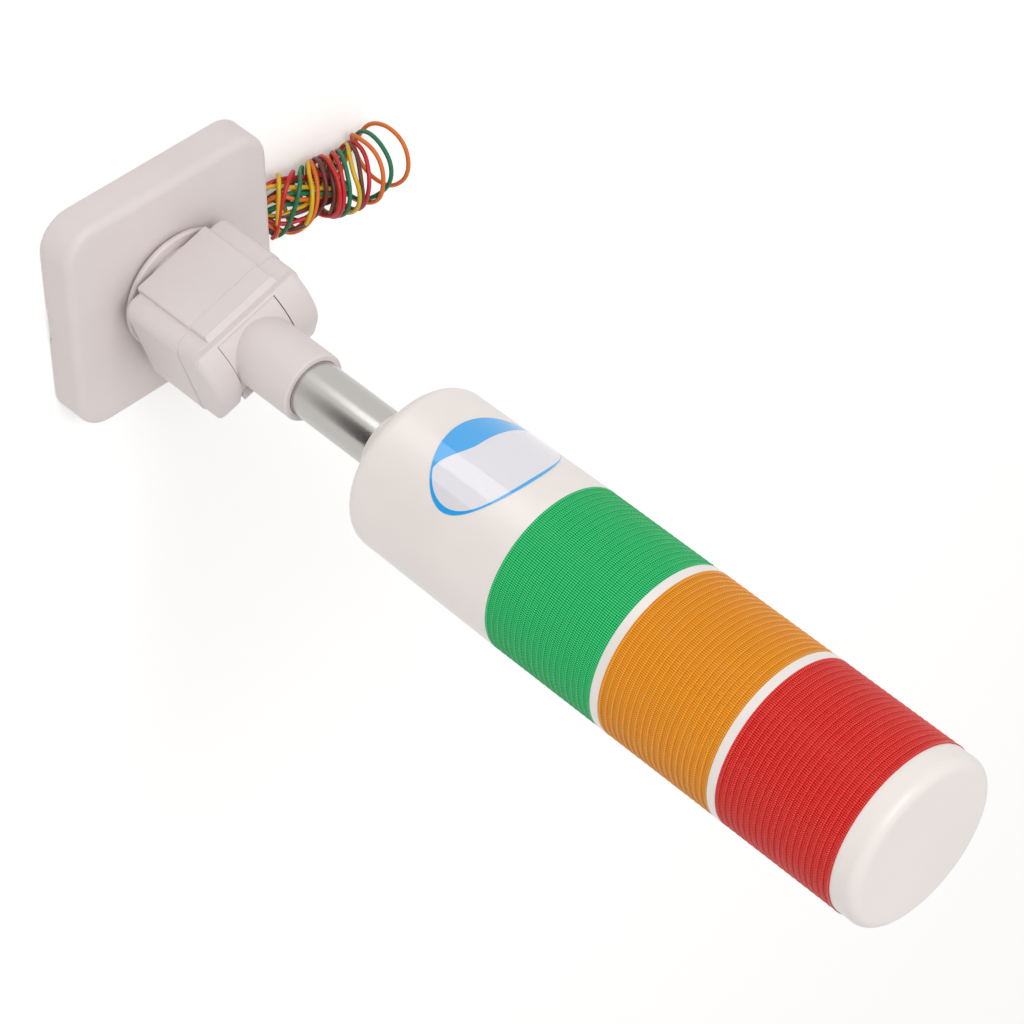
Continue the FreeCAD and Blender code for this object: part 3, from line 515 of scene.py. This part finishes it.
nylon = plain_finish("nylon", "#E8E5DC", "#DEDACF", roughness=0.5, grain_mm=2)
rubber = plain_finish("nitrile_rubber", "#1A1A1A", "#101010", roughness=0.7, grain_mm=1)
solder_mask = plain_finish("white_solder_mask", "#E4E8E4", "#D9DEDA", roughness=0.3, grain_mm=3)
clear_epoxy = plain_finish("clear_epoxy", "#F0E7A8", "#E3D88C", roughness=0.15, grain_mm=2)
black_epoxy = plain_finish("black_epoxy", "#1C1D1F", "#141516", roughness=0.4, grain_mm=2)
paint(["swivel_washer", "hinge_washers"], nylon)
paint(["lens_seals"], rubber)
paint(["driver_board"], solder_mask)
paint(["driver_components"], black_epoxy)
for colour in lens_colours:
    paint(["lamp_board_" + colour, "led_post_" + colour], solder_mask)
    paint(["leds_" + colour], clear_epoxy)

wire_colours = {"yellow": ("#E3BC1E", "#D3A810"), "red": ("#D0242A", "#BC1A20"),
                "green": ("#127A52", "#0C6A44"), "orange": ("#E57420", "#D56412"),
                "brown": ("#6E3430", "#5C2826")}
for name, (pale, dark) in wire_colours.items():
    pvc = plain_finish("soft_pvc_" + name, pale, dark, roughness=0.42, grain_mm=4)
    wires[name].data.materials.append(pvc)
    paint(["wire_" + name], pvc)
    if name == "orange":
        paint(["wire_hank"], pvc)
print("smaller finishes ready")

# %% [markdown]
# ### The label
#
# The label is a glossy printed film in the shape of an oval: a pale field, a thin blue outline
# and a blue crescent along its lower side. It carries no words. The outline is what lies outside
# a slightly smaller oval. The crescent is what lies below a line, the shore, that runs lower on
# the label's right than on its left.

# %% The label
# In metres: round the housing and up from the label's middle.
housing_radius = 0.025
label_middle = 0.1385
label_shift = 0.0013
field_half_width = 0.0204
field_half_height = 0.0131
field_shift = 0.015
shore_left, shore_right = 0.001, 0.0135
shore_high, shore_low = -0.0052, -0.0094


def printed_film():
    """Glossy film with a pale field, a thin outline and a crescent."""
    material, shader = finish("printed_film", {"Roughness": 0.08, "Coat Weight": 0.6,
                                               "Coat Roughness": 0.03})
    point = point_parts(material)
    minus_y = maths(material, "MULTIPLY", point["Y"], -1.0)
    angle = maths(material, "ARCTAN2", point["X"], minus_y)
    across = maths(material, "MULTIPLY_ADD", angle, housing_radius, label_shift)
    rise = maths(material, "ADD", point["Z"], -label_middle)

    x = maths(material, "MULTIPLY_ADD", across, 1 / field_half_width, field_shift)
    z = maths(material, "MULTIPLY", rise, 1 / field_half_height)
    from_middle = maths(material, "MULTIPLY_ADD", z, z, maths(material, "MULTIPLY", x, x))
    rim = maths(material, "GREATER_THAN", from_middle, 1.0)
    shore = add_node(material, "ShaderNodeMapRange",
                     {"From Min": shore_left, "From Max": shore_right,
                      "To Min": shore_high, "To Max": shore_low},
                     {"Value": across}, interpolation_type="SMOOTHSTEP")
    crescent = maths(material, "LESS_THAN", rise, shore.outputs["Result"])
    blue = maths(material, "MAXIMUM", rim, crescent)
    colour = add_node(material, "ShaderNodeMix", {6: linear("#E0DEE4"), 7: linear("#2EA4EA")},
                      {0: blue}, data_type="RGBA")
    connect(material, colour.outputs[2], shader, "Base Color")
    return material


paint(["rating_label"], printed_film())
print("label ready")

# %% [markdown]
# ## Floor and light
#
# The lamp stands on a plain pale floor. For rays that come from the camera, off something shiny
# or through something clear, the floor glows a little, so that it is seen almost plain white and
# still keeps the lamp's shadow. Diffuse rays don't see the glow, so it throws no light back onto
# the lamp.

# %% The floor
floor_side = 8.0
floor_height = -0.0003
floor_glow = 0.26


def bright_for_camera(material):
    """One for rays from the camera, a mirror or glass, and nought for all others."""
    ray = add_node(material, "ShaderNodeLightPath").outputs
    shiny = maths(material, "MAXIMUM", ray["Is Camera Ray"], ray["Is Glossy Ray"])
    return maths(material, "MAXIMUM", shiny, ray["Is Transmission Ray"])


bpy.ops.object.select_all(action="DESELECT")
bpy.ops.mesh.primitive_plane_add(size=floor_side, location=(0, 0, floor_height))
floor = bpy.context.active_object
floor.name = "floor"
bpy.ops.object.transform_apply(location=True, rotation=True, scale=True)
floor_paint, floor_shader = finish("matt_white_floor", {"Base Color": linear("#F4F3F2"),
                                                        "Roughness": 0.9,
                                                        "Emission Color": linear("#FFFFFF")})
glow = maths(floor_paint, "MULTIPLY", bright_for_camera(floor_paint), floor_glow)
connect(floor_paint, glow, floor_shader, "Emission Strength")
floor.data.materials.append(floor_paint)
print("floor ready")

# %% [markdown]
# Satin metal and glossy film look like what stands round them. A dark card to the pole's right
# gives the pole its dark band, and a narrow bright one in front gives the pole and the label
# their streak of light. Both show in shiny surfaces only: no other ray sees them, and they throw
# no shadow.

# %% Two cards for the pole
def card(name, azimuth, distance, width, low, high, colour, strength):
    """An upright card that faces the pole and shows in shiny surfaces only."""
    bpy.ops.object.select_all(action="DESELECT")
    bpy.ops.mesh.primitive_plane_add(size=1.0)
    board = bpy.context.active_object
    board.name = name
    turn = math.radians(azimuth)
    board.scale = (high - low, width, 1)
    board.rotation_euler = (0, -math.pi / 2, turn)
    board.location = (distance * math.cos(turn), distance * math.sin(turn), (low + high) / 2)
    bpy.ops.object.transform_apply(location=True, rotation=True, scale=True)
    face, shader = finish(name + "_card", {"Base Color": linear(colour), "Roughness": 0.9,
                                           "Emission Color": linear("#FFFFFF"),
                                           "Emission Strength": strength})
    board.data.materials.append(face)
    for ray in ("camera", "diffuse", "shadow", "transmission", "volume_scatter"):
        setattr(board, "visible_" + ray, False)


card("dark", azimuth=-27, distance=0.13, width=0.135, low=0.0, high=0.16, colour="#050505",
     strength=0.0)
card("bright", azimuth=-84, distance=0.14, width=0.055, low=0.0, high=0.16, colour="#FFFFFF",
     strength=1.9)
print("cards ready")

# %% [markdown]
# A wide soft light hangs above the lamp's front, a weaker one fills from the right, and an even
# pale sky does most of the rest. Whites stay just under full white.

# %% The lights
sky_strength = 0.66
lamp_middle = (0, 0, 0.15)


def soft_light(name, place, size, power):
    """A square area light that faces the middle of the lamp."""
    data = bpy.data.lights.new(name, "AREA")
    data.energy = power
    data.size = size
    light = bpy.data.objects.new(name, data)
    bpy.context.scene.collection.objects.link(light)
    light.location = place
    aim = Vector(lamp_middle) - Vector(place)
    light.rotation_euler = aim.to_track_quat("-Z", "Y").to_euler()


soft_light("key", place=(0.2, -1.0, 1.35), size=0.8, power=10)
soft_light("fill", place=(1.2, 0.3, 0.8), size=1.0, power=1)

world = bpy.context.scene.world or bpy.data.worlds.new("world")
bpy.context.scene.world = world
world.use_nodes = True
sky = world.node_tree.nodes["Background"]
sky.inputs["Color"].default_value = (1.0, 1.0, 1.0, 1.0)
sky.inputs["Strength"].default_value = sky_strength
bpy.context.scene.view_settings.view_transform = "Standard"
print("lights ready")
